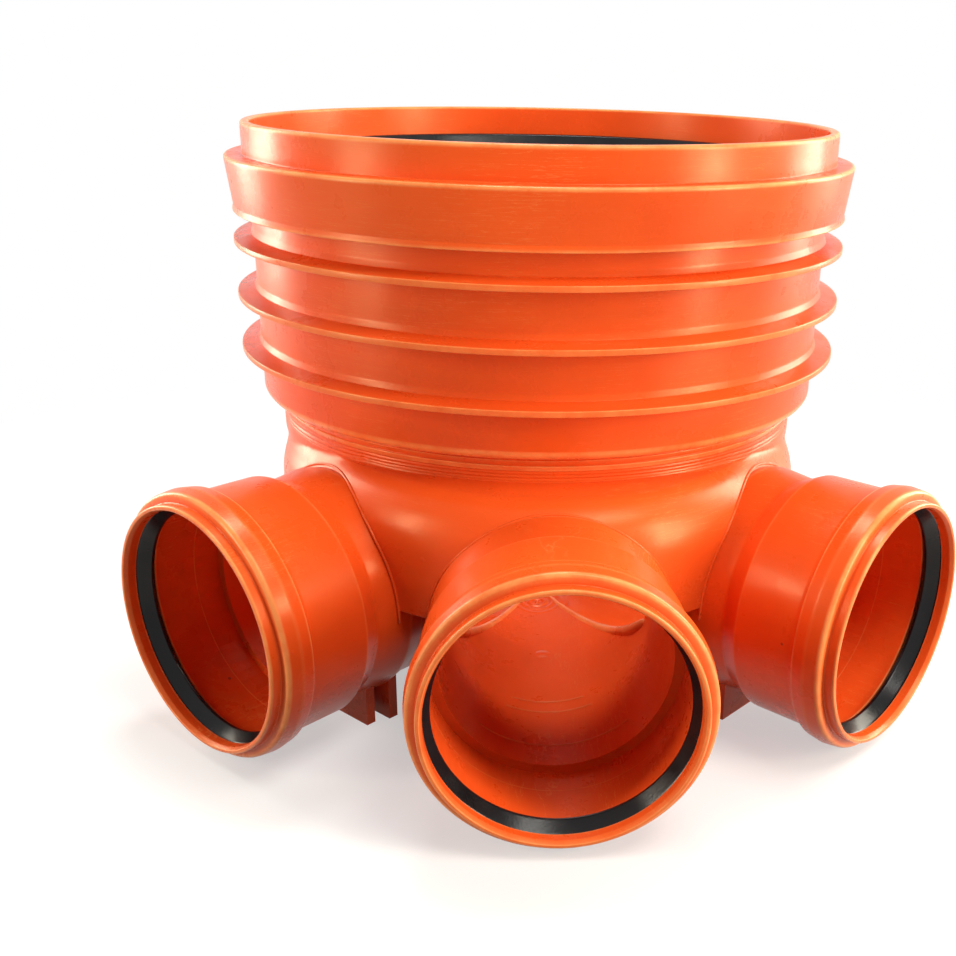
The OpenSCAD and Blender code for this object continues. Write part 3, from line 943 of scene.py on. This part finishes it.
def floor_finish(shade):
    """Matt floor, pale to the camera and in what is mirrored, and darker to the diffuse light that it
    throws back. Near the chamber it is seen half shaded and half white, and further out as plain white,
    with no horizon."""
    s = Shader("floor")
    looks = sees_background(s.nodes, s.links)
    darker = tuple(FLOOR_RETURN * v for v in shade)
    s.join(blend(s, "MIX", looks, darker, tuple(shade)), s.surface.inputs["Base Color"])
    s.surface.inputs["Roughness"].default_value = 0.8
    s.surface.inputs["Specular IOR Level"].default_value = 0.1
    place = s.add("ShaderNodeTexCoord").outputs["Object"]
    far = s.add("ShaderNodeVectorMath", operation="LENGTH")
    s.join(place, far.inputs[0])
    fade = s.ramp(product(s, far.outputs["Value"], 0.5), [(0.20, 0.5), (0.42, 1.0)])
    seen = product(s, fade, looks)
    white = s.add("ShaderNodeEmission")
    white.inputs["Color"].default_value = (1.0, 1.0, 1.0, 1.0)
    white.inputs["Strength"].default_value = 1.0
    mix = s.add("ShaderNodeMixShader")
    s.join(seen, mix.inputs["Fac"])
    s.join(s.surface.outputs["BSDF"], mix.inputs[1])
    s.join(white.outputs["Emission"], mix.inputs[2])
    s.join(mix.outputs["Shader"], s.nodes["Material Output"].inputs["Surface"])
    return s.material


def make_surroundings(scene):
    """White surroundings to the camera and in what is mirrored, and a faint glow to all other light."""
    world = scene.world or bpy.data.worlds.new("surroundings")
    scene.world = world
    world.use_nodes = True
    nodes, links = world.node_tree.nodes, world.node_tree.links
    nodes.clear()
    out = nodes.new("ShaderNodeOutputWorld")
    mix = nodes.new("ShaderNodeMixShader")
    links.new(sees_background(nodes, links), mix.inputs["Fac"])
    for slot, strength in ((1, GLOW), (2, 1.0)):
        light = nodes.new("ShaderNodeBackground")
        light.inputs["Color"].default_value = (1.0, 1.0, 1.0, 1.0)
        light.inputs["Strength"].default_value = strength
        links.new(light.outputs["Background"], mix.inputs[slot])
    links.new(mix.outputs["Shader"], out.inputs["Surface"])


def make_camera(scene):
    """The camera: its axes are the level ones, pitched down and then rolled."""
    lens = bpy.data.cameras.new("camera")
    lens.sensor_width = SENSOR_MM
    lens.lens = SENSOR_MM * FOCAL_WIDTHS
    lens.shift_x, lens.shift_y = -SHIFT_WIDTHS, SHIFT_WIDTHS
    lens.clip_start = 0.05
    camera = bpy.data.objects.new("camera", lens)
    scene.collection.objects.link(camera)
    camera.location = CAMERA_PLACE
    yaw, pitch, roll = (math.radians(a) for a in CAMERA_TURN)
    forward = np.array([math.sin(yaw), math.cos(yaw), 0.0])
    right = np.array([math.cos(yaw), -math.sin(yaw), 0.0])
    up = np.array([0.0, 0.0, 1.0])
    ahead = forward * math.cos(pitch) - up * math.sin(pitch)
    above = forward * math.sin(pitch) + up * math.cos(pitch)
    turned_right = right * math.cos(roll) + above * math.sin(roll)
    turned_up = -right * math.sin(roll) + above * math.cos(roll)
    basis = np.stack([turned_right, turned_up, -ahead], 1)
    camera.rotation_euler = mathutils.Matrix(basis.tolist()).to_euler()
    scene.camera = camera


class DRAIN_OT_stage(bpy.types.Operator):
    """Makes the floor, the lamps, the white surroundings and the camera"""

    bl_idname = "drain.stage"
    bl_label = "Stage"

    def execute(self, context):
        scene = context.scene
        corners = np.array([(-1, -1, 0), (1, -1, 0), (1, 1, 0), (-1, 1, 0)], float) * FLOOR_HALF
        floor = mesh_object("floor", corners, np.array([[0, 1, 2, 3]]))
        floor.data.materials.append(floor_finish(scene.chamber_colours.floor))
        make_surroundings(scene)
        for lamp in LAMPS:
            area_light(*lamp)
        make_camera(scene)
        scene.view_settings.view_transform = "Standard"
        return {"FINISHED"}


class DRAIN_PT_panel(bpy.types.Panel):
    """Lists the chamber's pieces in the sidebar"""

    bl_label = "Drain Chamber"
    bl_idname = "DRAIN_PT_panel"
    bl_space_type = "VIEW_3D"
    bl_region_type = "UI"
    bl_category = "Drain Chamber"

    def draw(self, context):
        for operator in OPERATORS:
            self.layout.operator(operator.bl_idname)
        for group in (context.scene.chamber_sizes, context.scene.chamber_colours):
            for key in group.__annotations__:
                self.layout.prop(group, key)


OPERATORS = (DRAIN_OT_stage, DRAIN_OT_riser, DRAIN_OT_base, DRAIN_OT_seals)
CLASSES = (ChamberSizes, ChamberColours, *OPERATORS, DRAIN_PT_panel)


def register():
    for c in CLASSES:
        bpy.utils.register_class(c)
    bpy.types.Scene.chamber_sizes = bpy.props.PointerProperty(type=ChamberSizes)
    bpy.types.Scene.chamber_colours = bpy.props.PointerProperty(type=ChamberColours)


def unregister():
    del bpy.types.Scene.chamber_colours
    del bpy.types.Scene.chamber_sizes
    for c in reversed(CLASSES):
        bpy.utils.unregister_class(c)


def main():
    register()
    for operator in OPERATORS:
        group, name = operator.bl_idname.split(".")
        getattr(getattr(bpy.ops, group), name)()


if __name__ == "__main__":
    main()
